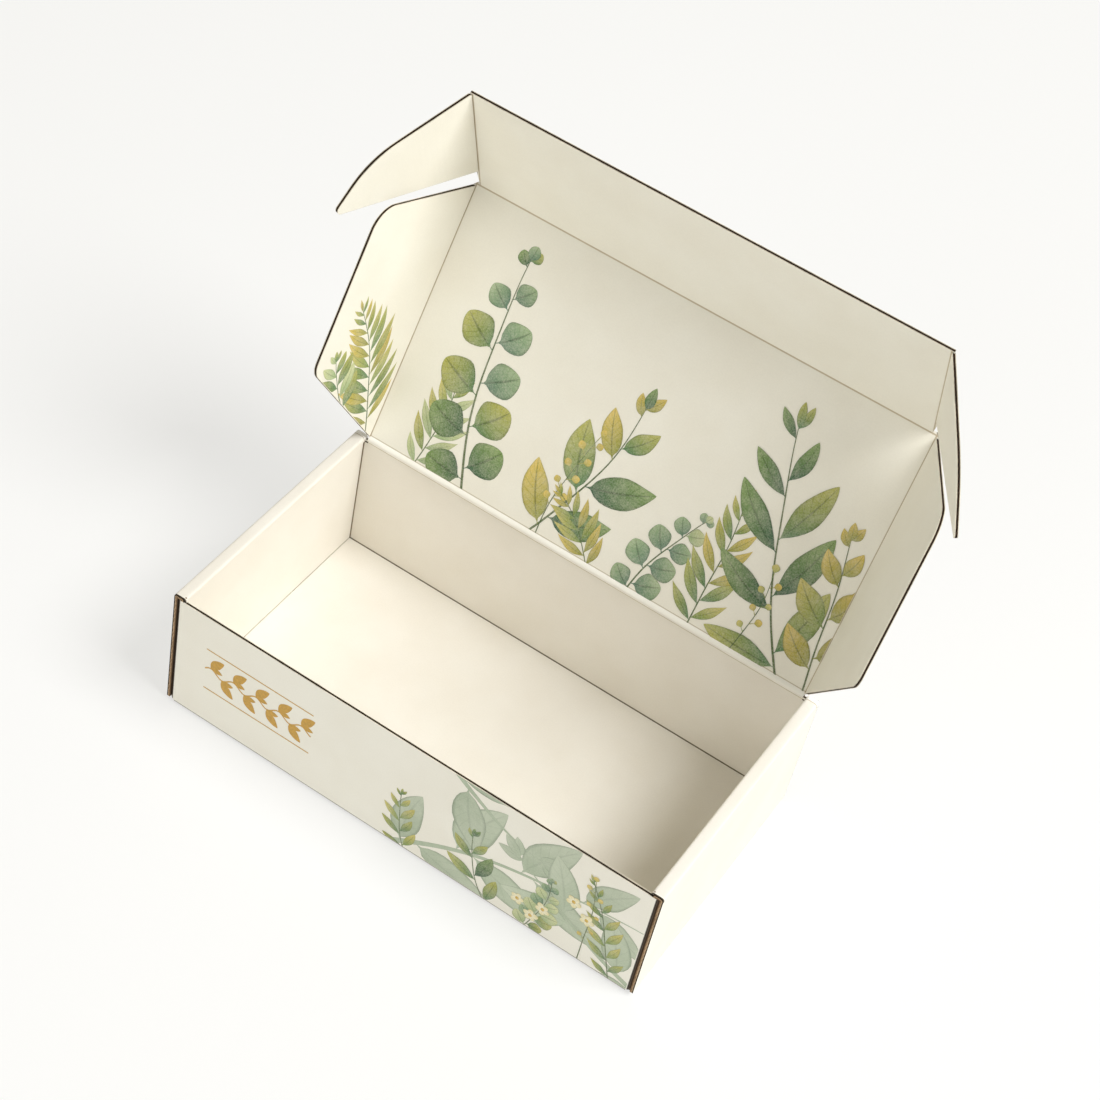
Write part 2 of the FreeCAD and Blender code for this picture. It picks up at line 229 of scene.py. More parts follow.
def darker(tree, colour, share, tone):
    """A colour multiplied by a tone, as far as the share says."""
    return mixed(tree, share, colour, (*tone, 1.0), "MULTIPLY")


def speckled(tree, colour, level):
    """A colour multiplied by a level of brightness."""
    grey = add_node(tree, "ShaderNodeCombineColor", {0: level, 1: level, 2: level}).outputs[0]
    return mixed(tree, 1.0, colour, grey, "MULTIPLY")


def noise(tree, place, scale, detail, rough=0.5):
    """Noise about one half, with the scale's number of patches in each unit of the place."""
    return add_node(tree, "ShaderNodeTexNoise", {
        "Vector": place, "Scale": scale, "Detail": detail, "Roughness": rough}).outputs["Fac"]


def bumped(tree, height, distance):
    """A normal tilted by the slope of a height, which is worth the distance in metres."""
    values = {"Height": height, "Distance": distance, "Strength": 1.0}
    return add_node(tree, "ShaderNodeBump", values).outputs[0]


def new_material(name):
    """An empty node material, its tree and the place on the object in metres."""
    material = bpy.data.materials.new(name)
    material.use_nodes = True
    tree = material.node_tree
    tree.nodes.clear()
    return material, tree, add_node(tree, "ShaderNodeTexCoord").outputs["Object"]


def set_surface(tree, values):
    """Ends a material with its shader and output."""
    shader = add_node(tree, "ShaderNodeBsdfPrincipled", values)
    add_node(tree, "ShaderNodeOutputMaterial", {0: shader.outputs[0]})


def grid_quads(shape, start):
    """The faces of a stack of point grids, turned so that row step times column step is the normal."""
    order = np.arange(int(np.prod(shape))).reshape(shape) + start
    corners = [order[..., :-1, :-1], order[..., 1:, :-1], order[..., 1:, 1:], order[..., :-1, 1:]]
    return np.stack(corners, -1).reshape(-1, 4)


def make_piece(name, parts, material, body=None):
    """One mesh from stacks of grids; each part has points and may have leaf places and ink colours."""
    spots, faces, places, inks, start = [], [], [], [], 0
    for part in parts:
        points = part["points"]
        shape = points.shape[:-1]
        count = int(np.prod(shape))
        spots.append(points.reshape(-1, 3))
        faces.append(grid_quads(shape, start))
        places.append(np.broadcast_to(part.get("place", np.zeros(2)), shape + (2,)).reshape(-1, 2))
        inks.append(np.broadcast_to(part.get("ink", np.ones(4)), shape + (4,)).reshape(-1, 4))
        start += count
    spots, faces = np.concatenate(spots), np.concatenate(faces)
    places, inks = np.concatenate(places), np.concatenate(inks)
    diagonal = np.cross(spots[faces[:, 2]] - spots[faces[:, 0]], spots[faces[:, 3]] - spots[faces[:, 1]])
    faces = faces[np.linalg.norm(diagonal, axis=1) > 2e-11]
    used, faces = np.unique(faces, return_inverse=True)
    faces = faces.reshape(-1, 4)
    spots, places, inks = spots[used], places[used], inks[used]
    mesh = bpy.data.meshes.new(name)
    mesh.from_pydata(spots.tolist(), [], faces.tolist())
    layer = mesh.uv_layers.new(name="leaf")
    layer.uv.foreach_set("vector", places[faces.ravel()].astype(np.float32).ravel())
    colour = mesh.attributes.new("ink", "FLOAT_COLOR", "POINT")
    colour.data.foreach_set("color", inks.astype(np.float32).ravel())
    mesh.update()
    piece = bpy.data.objects.new(name, mesh)
    bpy.context.scene.collection.objects.link(piece)
    mesh.materials.append(material)
    if body:
        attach(piece, body)
    return piece


# Board

def line_distance(tree, mm, lines):
    """Distance in millimetres to the nearest of some straight lines, each a point and a unit direction."""
    nearest = None
    for spot, way in lines:
        offset = vectors(tree, "SUBTRACT", mm, tuple(spot))
        reach = vectors(tree, "LENGTH", vectors(tree, "CROSS_PRODUCT", offset, tuple(way)))
        if nearest is not None:
            reach = maths(tree, "MINIMUM", nearest, reach)
        nearest = reach
    return nearest


def between(tree, value, low, high, soft):
    """One where a value in millimetres lies from low to high, fading out over a soft distance."""
    above = ramp(tree, value, low - soft, low, 0.0, 1.0)
    return maths(tree, "MULTIPLY", above, ramp(tree, value, high, high + soft, 1.0, 0.0))


def in_box(tree, *ranges):
    """One inside a box; each range is a value with its low, high and soft distance."""
    share = between(tree, *ranges[0])
    for others in ranges[1:]:
        share = maths(tree, "MULTIPLY", share, between(tree, *others))
    return share


def tray_liner(tree, mm, inner, outer):
    """The tray's colour: its outer liner shows from two millimetres outside the inner corners.

    Painted shade lines run along the inner corners where its panels meet. Painted shade lies in the
    groove between a rolled wall and the front or back wall, in the slit inside it, at the raw ends over
    the rolls and in the nook behind each roll, and a painted contact shadow runs along the foot of the
    walls. Their places are in millimetres from the tray's end, side and top.
    """
    end, side, top = TRAY_HIGH / MM
    size = vectors(tree, "ABSOLUTE", mm)
    real_y, real_z = add_node(tree, "ShaderNodeSeparateXYZ", {0: mm}).outputs[1:]
    corner = (end - BEND / MM, side - BEND / MM, 1000.0)
    past = vectors(tree, "MAXIMUM", vectors(tree, "SUBTRACT", size, corner), (0.0, 0.0, 0.0))
    under = maths(tree, "MAXIMUM", maths(tree, "SUBTRACT", BEND / MM, real_z), 0.0)
    under = add_node(tree, "ShaderNodeCombineXYZ", {2: under}).outputs[0]
    reach = vectors(tree, "LENGTH", vectors(tree, "ADD", past, under))
    base = mixed(tree, maths(tree, "GREATER_THAN", reach, 1.9), inner, outer)
    # painted shade lines along the inner corners where the floor and walls meet
    corner_x, corner_y = end - 5.4, side - 1.6
    for inner_corners, deep, wide in (
        ((((0.0, corner_y, 1.6), X_AXIS), ((corner_x, corner_y, 0.0), Z_AXIS)), (0.36, 0.29, 0.21), 0.25),
        ((((corner_x, 0.0, 1.7), Y_AXIS),), (0.56, 0.56, 0.5), 0.1),
    ):
        reach = line_distance(tree, size, inner_corners)
        base = darker(tree, base, ramp(tree, reach, wide, wide + 0.35, 1.0, 0.0), deep)
    x, y, z = add_node(tree, "ShaderNodeSeparateXYZ", {0: size}).outputs
    # painted shade in the groove, its slit, the raw ends and the nook, and a painted contact shadow along the
    # foot
    groove = in_box(tree, (x, end - 3.1, end - 1.4, 0.4), (y, side - 3.2, side + 1, 0.5),
                    (z, -1.0, top - 1.9, 0.1))
    slit = maths(tree, "MULTIPLY", groove, between(tree, x, end - 3.4, end - 2.9, 0.25))
    by_side = maths(tree, "MULTIPLY", maths(tree, "GREATER_THAN", x, end - 2), 0.2)
    by_wall = maths(tree, "GREATER_THAN", y, side - 2)
    foot = between(tree, z, -1.0, 1.8, 0.3)
    foot = maths(tree, "MULTIPLY", foot, maths(tree, "MAXIMUM", by_side, by_wall))
    raw_end = in_box(tree, (y, side - 0.8, side + 1, 0.05), (x, end - 7, end + 0.1, 0.1),
                     (z, top - 1.7, top + 1, 0.2))
    nook = in_box(tree, (real_y, side - 1.7, side + 1, 0.1), (x, end - 7.9, end - 5.7, 0.1),
                  (z, top - 3.4, top + 1, 0.3))
    # each share darkens the liner by its tone: painted shade
    for share, tone in (
        (groove, (0.15, 0.11, 0.08)), (slit, (0.1, 0.08, 0.06)), (foot, (0.24, 0.23, 0.2)),
        (raw_end, (0.06, 0.045, 0.03)), (nook, (0.05, 0.04, 0.03)),
    ):
        base = darker(tree, base, share, tone)
    return base


def board_material(name, colour, phase, creases, outer=None):
    """Coated white-lined E-flute board, printed matt: soft sheen, faint fibre and a trace of the flutes.

    The flutes show as a sine of the distance across them, at the real pitch. A painted highlight makes
    the band round the lid's hinge whiter, with thin lines of painted shade at its edges, and painted
    shade darkens the hollow line of each crease.
    """
    settings = bpy.context.scene.mailer_board
    material, tree, place = new_material(name)
    mm = add_node(tree, "ShaderNodeVectorMath", {0: place, "Scale": 1 / MM}, operation="SCALE").outputs[0]
    across = vectors(tree, "DOT_PRODUCT", mm, tuple(phase))
    base = linear(colour)
    if outer:
        x, _, z = add_node(tree, "ShaderNodeSeparateXYZ", {0: mm}).outputs
        on_side = maths(tree, "GREATER_THAN", maths(tree, "ABSOLUTE", x), TRAY_HIGH[0] / MM - 5.6)
        across = add_node(tree, "ShaderNodeMix", {0: on_side, 2: across, 3: z}).outputs[0]
        base = tray_liner(tree, mm, base, linear(outer))
    reach = line_distance(tree, mm, ((joint_place("lid_hinge")[0] / MM, X_AXIS),))
    # painted highlight on the band round the hinge, edged by thin lines of painted shade
    base = mixed(tree, ramp(tree, reach, 1.9, 2.2, 1.0, 0.0), base, linear(HINGE_HIGHLIGHT))
    base = darker(tree, base, between(tree, reach, 2.15, 2.3, 0.2), (0.6, 0.55, 0.46))
    # painted shade along the hollow line of each crease
    if creases:
        fold = ramp(tree, line_distance(tree, mm, creases), 0.2, 0.5, 1.0, 0.0)
        base = darker(tree, base, fold, (0.62, 0.54, 0.43))
    shade = darker(tree, base, 1.0, (0.972, 0.964, 0.95))
    mottle = ramp(tree, noise(tree, mm, 0.035, 3.0), 0.35, 0.65, 0.0, 0.9)
    fibre = noise(tree, mm, 1.3, 4.0, 0.6)
    wave = maths(tree, "SINE", maths(tree, "MULTIPLY", across, 2 * math.pi * MM / settings.flute_pitch))
    relief = maths(tree, "MULTIPLY_ADD", fibre, 0.02, maths(tree, "MULTIPLY", wave, 0.0035))
    speck = ramp(tree, fibre, 0.3, 0.7, 0.975, 1.012)
    set_surface(tree, {
        "Base Color": speckled(tree, mixed(tree, mottle, base, shade), speck),
        "Roughness": ramp(tree, fibre, 0.3, 0.7, 0.56, 0.7), "Normal": bumped(tree, relief, MM), **COATED})
    return material


class MAILER_OT_board(bpy.types.Operator):
    """Gives the folded tray and each panel of the lid its lined board"""
    bl_idname = "mailer.board"
    bl_label = "Board"

    def execute(self, context):
        settings = context.scene.mailer_board
        folds = {}
        for node, panel in PANELS.items():
            if node != "lid_panel":
                carrier = PANELS["tuck_flap" if "ear" in node else "lid_panel"]
                hollow = HALF_BOARD * (panel["w"] + carrier["w"]) / (1 + panel["w"] @ carrier["w"])
                along = X_AXIS if node == "tuck_flap" else panel["b"]
                folds[node] = ((panel["origin"] + hollow) / MM, along)
        lid = ("lined_board_lid", settings.print_colour, X_AXIS, tuple(folds.values()))
        finishes = {
            "tray": ("lined_board_tray", settings.tray_colour, X_AXIS, (), settings.print_colour),
            "lid_panel": lid, "tuck_flap": lid}
        for node, fold in folds.items():
            if node != "tuck_flap":
                finishes[node] = ("lined_board_" + node, settings.print_colour, PANELS[node]["a"], (fold,))
        for node, finish in finishes.items():
            mesh = frame["nodes"][node].data
            mesh.materials.clear()
            mesh.materials.append(bpy.data.materials.get(finish[0]) or board_material(*finish))
        return {"FINISHED"}


# Cut edges

def mitred(normals):
    """Vectors at a path's points that offset both its segments by one.

    Each is the sum of the two segments' normals over one plus their dot product.
    """
    before = np.concatenate([normals[:1], normals])
    after = np.concatenate([normals, normals[-1:]])
    return (before + after) / (1 + (before * after).sum(1, keepdims=True))


def finer(values, path, step):
    """Values at a path's points, spread evenly over each segment in steps of about the given length."""
    length = np.linalg.norm(np.diff(path, axis=0), axis=1)
    counts = np.maximum(1, np.ceil(length / step)).astype(int)
    marks = np.concatenate([[0], np.cumsum(counts)])
    places = np.arange(marks[-1] + 1)
    return np.stack([np.interp(places, marks, column) for column in values.T], 1)


def profile_strip(path, along_thick, along_out, profile):
    """A profile carried along a path: its point plus a thickness vector plus a height vector."""
    thick, height = profile[..., 0:1], profile[..., 1:2]
    return path[:, None] + along_thick[:, None] * thick + along_out[:, None] * height


def facing_out(points, outward):
    """Turns a strip round if the sum of its face normals points against the cut edge's own direction."""
    normal = np.cross(points[1:, :-1] - points[:-1, :-1], points[:-1, 1:] - points[:-1, :-1])
    if (normal * outward[:-1, None]).sum() < 0:
        return points[:, ::-1]
    return points


def cut_edge(path, outward, thick, phase, settings, liner_tone, is_end=0):
    """A cut through the board: two liners with the fluting paper between them.

    The flute's middle lies at amplitude times the sine of the distance across the flutes,
    so a cut across them shows waves and a cut along them shows a straight line. The raw end of
    a rolled wall has its outer liner painted near-black as painted shade, round a tan core; the other
    cuts have painted shade between their liners, and their fluting paper is darkened near to black as
    painted shade.
    """
    liner, relief, half = settings.liner * (1.4 if is_end else 1.0), settings.edge_relief, HALF_BOARD
    gap, core = np.array(linear(settings.flute_shade_colour)), np.array(linear(settings.core_colour))
    toned = np.array(linear(settings.print_colour)) * liner_tone
    # the gap colour and the fluting paper darkened near to black are painted shade in the cut
    rim_ink, bed_ink = (gap, core * [0.7, 0.64, 0.56, 1.0]) if is_end else (toned, gap)
    flute_ink = core if is_end else core * [0.11, 0.085, 0.07, 1.0]
    outward, thick = np.broadcast_to(outward, path.shape), np.broadcast_to(thick, path.shape)
    parts = []
    floor = relief * 0.2

    def add_strip(middles, ways, profile, ink):
        profile = np.broadcast_to(profile, (len(middles), *np.shape(profile)[-2:]))
        points = profile_strip(middles, ways[0], ways[1], profile)
        parts.append({"points": facing_out(points, ways[1])[None], "ink": ink})

    add_strip(path, (thick, outward), np.array([[-half, floor], [half, floor]]), bed_ink)
    for side in (-1, 1):
        outer, inner = side * half * 1.002, side * (half - liner)
        rim = np.array([[outer, 0.0], [outer, relief], [inner, relief], [inner, floor]])
        ink = core * [0.5, 0.42, 0.34, 1.0] if side == -is_end else rim_ink
        add_strip(path, (thick, outward), rim, ink)
    step = settings.flute_pitch / 11
    fine_phase = finer(phase[:, None], path, step)[:, 0]
    swing, paper = (half - liner) * 0.62, liner * 0.62
    middle = swing * np.sin(2 * np.pi * fine_phase / settings.flute_pitch)
    shape = np.array([[-paper, floor], [-paper, relief * 0.9], [paper, relief * 0.9], [paper, floor]])
    profile = np.broadcast_to(shape, (len(middle), 4, 2)).copy()
    profile[..., 0] += middle[:, None]
    fine_path, fine_thick, fine_out = (finer(values, path, step) for values in (path, thick, outward))
    add_strip(fine_path, (fine_thick, fine_out), profile, flute_ink)
    return parts


def panel_outline(node):
    """The outline of a flat panel as a convex polygon in its own a and b, in metres."""
    panel = PANELS[node]
    mesh = frame["nodes"][node].data
    points = np.zeros(len(mesh.vertices) * 3, np.float32)
    mesh.vertices.foreach_get("co", points)
    offset = points.reshape(-1, 3).astype(float) - panel["origin"]
    flat = np.stack([offset @ panel["a"], offset @ panel["b"]], 1)
    order = geometry.convex_hull_2d([Vector(p) for p in (flat * 1000).tolist()])
    ring = flat[order]
    gap = np.linalg.norm(ring - np.roll(ring, 1, axis=0), axis=1)
    ring = ring[gap > 2e-5]
    turn = np.roll(ring, -1, axis=0) - ring
    if (ring[:, 0] * turn[:, 1] - ring[:, 1] * turn[:, 0]).sum() < 0:
        ring = ring[::-1]
    return ring


def outline_sides(ring):
    """Each side's outward normal; the outline runs anticlockwise."""
    along = np.roll(ring, -1, axis=0) - ring
    normal = np.stack([along[:, 1], -along[:, 0]], 1)
    return normal / np.linalg.norm(normal, axis=1, keepdims=True)


def cut_runs(ring, is_cut):
    """Runs of neighbouring cut sides, as lists of point numbers, none of them across a fold."""
    count = len(ring)
    first = next((k for k in range(count) if is_cut[k] and not is_cut[k - 1]), None)
    runs, current = [], []
    for step in range(count):
        k = (first + step) % count
        if is_cut[k]:
            current = current or [k]
            current.append((k + 1) % count)
        elif current:
            runs.append(current)
            current = []
    return runs + ([current] if current else [])


def panel_edges(node, settings):
    """Cut edges round a flat panel, apart from the sides where it is folded on."""
    panel = PANELS[node]
    ring = panel_outline(node)
    normal = outline_sides(ring)
    if node == "lid_panel":
        is_cut = (np.abs(normal) > 0.3).all(1)
    elif node == "tuck_flap":
        is_cut = (normal[:, 1] > -0.99) & (np.abs(normal[:, 0]) < 0.999)
    else:
        is_cut = normal[:, 0] > -0.99
    parts = []
    for run in cut_runs(ring, is_cut):
        flat = ring[run]
        sides = mitred(normal[run[:-1]])
        path = panel["origin"] + flat @ np.stack([panel["a"], panel["b"]])
        outward = sides @ np.stack([panel["a"], panel["b"]])
        parts += cut_edge(path, outward, panel["w"], flat[:, 0], settings, PANEL_LINER)
    return parts


def arc(centre, radius, first, last, count):
    """Points on a circle in a plane, by angle in degrees."""
    angle = np.radians(np.linspace(first, last, count))
    return np.stack([centre[0] + radius * np.cos(angle), centre[1] + radius * np.sin(angle)], 1)


def lifted_path(flat, plane, spot):
    """A flat path in a plane of two axes, with the mitred direction across it and its running length."""
    along = np.diff(flat, axis=0)
    side = np.stack([-along[:, 1], along[:, 0]], 1) / np.linalg.norm(along, axis=1, keepdims=True)
    across = mitred(side)
    length = np.concatenate([[0.0], np.cumsum(np.linalg.norm(along, axis=1))])
    return spot + flat @ np.stack(plane), across @ np.stack(plane), length


def tray_edges(settings):
    """Cut edges of the tray: the four hooked ends of the rolled walls and the tops of the end walls."""
    half = HALF_BOARD
    side_x, wall_y, top = TRAY_HIGH
    roll_foot, round_off = top - 0.0019, 0.0004
    outer, inner, crown = side_x - half, side_x - 0.0046, top - half
    parts = []
    for sx in (-1, 1):
        hook = np.concatenate([
            [[outer, BEND]], arc((outer - round_off, crown - round_off), round_off, 0, 90, 4),
            arc((inner + round_off, crown - round_off), round_off, 90, 180, 4), [[inner, roll_foot]]])
        hook[:, 0] *= sx
        for sy in (-1, 1):
            path, across, length = lifted_path(hook, (X_AXIS, Z_AXIS), Y_AXIS * sy * (wall_y - TRIM))
            parts += cut_edge(path, Y_AXIS * sy, across, length, settings, SHADED_LINER, -sx)
    corner = side_x - 0.0019 - BEND
    bent = arc((corner, BEND - wall_y), BEND - half, -90, 0, 7)
    front = np.concatenate([(bent * [-1, 1])[::-1], bent])
    back = np.concatenate([[[HINGE_HALF, half - wall_y]], bent])
    for flat in (front, back * [1, -1], back * [-1, -1]):
        path, across, _ = lifted_path(flat, (X_AXIS, Y_AXIS), Z_AXIS * (top - WALL_DROP))
        parts += cut_edge(path, Z_AXIS, across, path[:, 0], settings, WALL_LINER)
    rise = np.array([[wall_y - half, top - WALL_DROP], [wall_y - half, top - 0.0009]])
    for sx in (-1, 1):
        path, across, length = lifted_path(rise, (Y_AXIS, Z_AXIS), X_AXIS * sx * HINGE_HALF)
        parts += cut_edge(path, X_AXIS * sx, across, length * 0, settings, SHADED_LINER)
    return parts


def edge_material():
    """Cut corrugated board: dry brown fluting paper between two liners, fully matt."""
    material, tree, place = new_material("kraft_cut_edge")
    ink = add_node(tree, "ShaderNodeAttribute", attribute_name="ink").outputs["Color"]
    fuzz = noise(tree, place, 2600.0, 3.0)
    level = ramp(tree, maths(tree, "ADD", fuzz, noise(tree, place, 90.0, 2.0)), 0.7, 1.3, 0.7, 1.35)
    set_surface(tree, {
        "Base Color": speckled(tree, ink, level), "Roughness": ramp(tree, fuzz, 0.3, 0.7, 0.86, 0.96),
        "Normal": bumped(tree, fuzz, 0.00003), "Specular IOR Level": 0.2})
    return material


class MAILER_OT_cut_edges(bpy.types.Operator):
    """Builds the fluted cut edges of the tray, lid, tuck flap, side flaps and ears"""
    bl_idname = "mailer.cut_edges"
    bl_label = "Cut edges"

    def execute(self, context):
        settings = context.scene.mailer_board
        material = edge_material()
        pieces = [make_piece("cut_edge_tray", tray_edges(settings), material, "tray")]
        for node, panel in PANELS.items():
            edges = panel_edges(node, settings)
            pieces.append(make_piece("cut_edge_" + node, edges, material, panel["body"]))
        return {"FINISHED"}


# Creases

def crease_skin(name, fold, settings, bead=0.0):
    """Liner paper that runs round a fold from one panel to the next.

    Its section is a straight run on the first panel, an arc about the fold's own axis, or the
    meeting of the two faces where the fold is hollow, and a straight run on the second panel.
    """
    lift = HALF_BOARD + settings.skin_lift
    reach = fold["reach"]
    away_a, away_b, out_a, out_b = fold["away_a"], fold["away_b"], fold["out_a"], fold["out_b"]
    runs = np.linspace(1.0, 0.0, 9)[:-1, None] * reach
    swell = bead * np.cos(np.pi / 2 * np.minimum(1.0, runs / (0.9 * reach))) ** 2
    turn = math.acos(max(-1.0, min(1.0, float(out_a @ out_b))))
    share = np.linspace(0.0, 1.0, 11)[:, None]
    if (out_b - out_a) @ away_a < 0:
        middle = (np.sin((1 - share) * turn) * out_a + np.sin(share * turn) * out_b) / math.sin(turn)
        middle = middle * (lift + bead)
        start, end = out_a * lift, out_b * lift
    else:
        meet = lift * math.tan(turn / 2)
        start, end = out_a * lift + away_a * (meet + KNEE), out_b * lift + away_b * (meet + KNEE)
        knee = out_a * lift + away_a * meet
        middle = (1 - share) ** 2 * start + 2 * share * (1 - share) * knee + share ** 2 * end
    tuck_in = settings.skin_lift * 1.5
    section = np.concatenate([
        [start + away_a * reach - out_a * tuck_in], start + away_a * runs + out_a * swell, middle,
        end + away_b * runs[::-1] + out_b * swell[::-1], [end + away_b * reach - out_b * tuck_in]])
    places = np.linspace(fold["low"], fold["high"], 28)
    points = fold["centre"] + section[:, None] + fold["along"] * places[None, :, None]
    normal = np.cross(points[1, 0] - points[2, 0], points[1, 1] - points[1, 0])
    if normal @ out_a > 0:
        points = points[:, ::-1]
    piece = make_piece(name, [{"points": points[None]}], fold["material"])
    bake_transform(piece)
    return piece


def base_span(node, axis):
    """Where a panel's side on its own fold starts and ends, along the fold."""
    ring = panel_outline(node)
    base = ring[ring[:, axis] < ring[:, axis].min() + SNAP]
    return base[:, 1 - axis].min(), base[:, 1 - axis].max()


def fold_between(node_a, node_b, toward_a, low, high):
    """What a crease skin needs to know of the fold between a panel and the one it carries."""
    first, second = PANELS[node_a], PANELS[node_b]
    is_flap = node_b != "tuck_flap"
    return {
        "body_a": first["body"], "body_b": second["body"], "centre": second["origin"],
        "along": second["b"] if is_flap else X_AXIS, "low": low, "high": high,
        "away_a": toward_a, "away_b": second["a"] if is_flap else second["b"],
        "out_a": -first["w"], "out_b": -second["w"], "reach": 0.0024,
        "material": bpy.data.materials[frame["nodes"][node_a].data.materials[0].name],
    }


def roll_paper(side):
    """Liner paper over a rolled wall: (|x - m| / a)^5 + ((z - h) / b)^5 = 1, carried along y."""
    middle, half, foot, rise = TRAY_HIGH[0] - 0.0031, 0.00315, TRAY_HIGH[2] - 0.0026, 0.0027
    angle = np.linspace(0.0, np.pi, 41)[:, None]
    x = side * (middle + half * np.sign(np.cos(angle)) * np.abs(np.cos(angle)) ** 0.4)
    y = side * np.linspace(1.0, -1.0, 25) * (TRAY_HIGH[1] - 0.00025)
    points = np.stack(np.broadcast_arrays(x, y, foot + rise * np.abs(np.sin(angle)) ** 0.4), -1)
    name = "roll_paper_" + ("left", "right")[side > 0]
    return make_piece(name, [{"points": points[None]}], bpy.data.materials["lined_board_tray"], "tray")


class MAILER_OT_creases(bpy.types.Operator):
    """Lays the liner paper round the hinge, over the rolled walls and round the other folds"""
    bl_idname = "mailer.creases"
    bl_label = "Creases"

    def execute(self, context):
        settings = context.scene.mailer_board
        lid = PANELS["lid_panel"]
        for name, face, bead in (("inside", -1, 0.0007), ("outside", 1, 0.00005)):
            fold = {
                "body_a": "tray", "body_b": "lid", "centre": lid["origin"], "along": X_AXIS,
                "low": -HINGE_HALF, "high": HINGE_HALF, "away_a": -Z_AXIS, "away_b": lid["b"],
                "out_a": Y_AXIS * face, "out_b": -lid["w"] * face, "reach": 0.0026,
                "material": bpy.data.materials["lined_board_lid"],
            }
            crease_skin("crease_hinge_" + name, fold, settings, bead)
        for side in (-1, 1):
            roll_paper(side)
        for side, sign in (("left", -1), ("right", 1)):
            for name, carrier, node, short in (
                ("crease_side_flap_", "lid_panel", "lid_side_flap_" + side, 0.0),
                ("crease_ear_", "tuck_flap", "tuck_ear_" + side, TRIM),
            ):
                low, high = base_span(node, 0)
                fold = fold_between(carrier, node, -sign * X_AXIS, low, high - short)
                crease_skin(name + side, fold, settings)
        fold = fold_between("lid_panel", "tuck_flap", -lid["b"], *base_span("tuck_flap", 1))
        crease_skin("crease_tuck", fold, settings)
        return {"FINISHED"}


# Leaf print

INKS = {
    "deep": ("#41654A", "#7F9A5A"),
    "green": ("#5E8458", "#B5B45C"),
    "olive": ("#7D9550", "#CCC069"),
    "blue": ("#557B66", "#9DB48A"),
    "ochre": ("#989A4B", "#DAC163"),
    "pale": ("#9DB283", "#CBD09B"),
    "sage": ("#AFBCA2", "#C2CBB4"),
}
STEM_INK = "#55683F"
FLOWER_INKS = (("#F6F1D8", "#E9DDA6"), ("#C9A33E", "#DDBB55"))

# Forms of leaves: where the widest place lies, how pointed the ends are and how long the stalk is
ROUND = (1.0, 0.6, 0.14)
WILLOW = (0.85, 1.15, 0.04)
OLIVE = (0.95, 0.8, 0.06)
OVAL = (0.8, 0.85, 0.08)
FRUIT = (1.0, 0.55, 0.45)
PETAL = (1.25, 0.6, 0.0)
DOT = (1.0, 0.55, 0.0)


def stem_line(root, heading, length, curve):
    """A stem as a line whose heading turns evenly by the given curve, with one slow wave in it."""
    share = np.linspace(0.0, 1.0, 60)
    angle = heading + curve * share + 0.05 * np.sin(9.0 * share)
    step = length / (len(share) - 1)
    run = np.cumsum(np.stack([np.cos(angle), np.sin(angle)], 1) * step, axis=0)
    line = np.array(root) + np.concatenate([[[0.0, 0.0]], run[:-1]])
    return share, line, angle


def brush_line(line, angle, wide, ink, height):
    """A painted line: three points across at each place, the width tapering as given."""
    side = np.stack([-np.sin(angle), np.cos(angle)], 1)
    across = np.array([-1.0, 0.0, 1.0])
    flat = line[:, None] + side[:, None] * (across[None, :] * wide[:, None] / 2)[..., None]
    share = np.linspace(0.0, 1.0, len(line))
    place = np.stack(np.broadcast_arrays(share[:, None], (across / 2 + 0.5)[None, :]), -1)
    tone = np.array(linear(ink))
    return {"flat": flat[None], "height": np.full(flat[None].shape[:-1], height), "place": place[None],
            "ink": np.broadcast_to(np.append(tone[:3], 0.0), flat[None].shape[:-1] + (4,))}


def leaf_shapes(base, heading, length, width, bend, form, inks, height, veins=1.0):
    """Leaves as surfaces of two parameters, t from stalk to tip and s from edge to edge.

    The midrib is an arc that turns by bend over the length. Half the width at t is
    sin(pi * q^a)^b, where q is t past the stalk: a moves the widest place, b rounds the ends.
    """
    peak, roundness, stalk = form
    t = (1 - np.cos(np.linspace(0.0, np.pi, 17))) / 2
    s = np.linspace(-1.0, 1.0, 7)
    bend = np.where(np.abs(bend) < 1e-3, 1e-3, bend)[:, None]
    turn = heading[:, None] + bend * t
    radius = length[:, None] / bend
    spine = np.stack([
        base[:, 0:1] + radius * (np.sin(turn) - np.sin(heading[:, None])),
        base[:, 1:2] - radius * (np.cos(turn) - np.cos(heading[:, None]))], -1)
    blade = np.clip((t - stalk) / (1 - stalk), 0.0, 1.0)
    half = width[:, None] / 2 * np.sin(np.pi * blade ** peak) ** roundness + 0.2 * (1 - t) * MM
    half = half * (1 + 0.035 * np.sin(11 * t + 3 * heading[:, None]))
    side = np.stack([-np.sin(turn), np.cos(turn)], -1)
    flat = spine[:, :, None] + side[:, :, None] * (half[..., None] * s)[..., None]
    start, end = inks[:, 0, None, None], inks[:, 1, None, None]
    mix = np.clip(t[:, None] * 1.15 - 0.1 + 0.16 * s[None, :], 0, 1)[None, ..., None]
    tone = start * (1 - mix) + end * mix
    ink = np.concatenate([tone, np.full(tone.shape[:-1] + (1,), veins)], -1)
    place = np.stack(np.broadcast_arrays(t[:, None], (s / 2 + 0.5)[None, :]), -1)
    shape = flat.shape[:-1]
    return {"flat": flat, "height": np.broadcast_to(height[:, None, None], shape),
            "place": np.broadcast_to(place, shape + (2,)), "ink": ink}


def ink_pairs(names, count, rng):
    """A stalk colour and a tip colour for each leaf, picked from named inks."""
    table = np.array([[linear(tone)[:3] for tone in INKS[name]] for name in names])
    return table[rng.integers(0, len(names), count)] * rng.uniform(0.92, 1.06, (count, 1, 1))


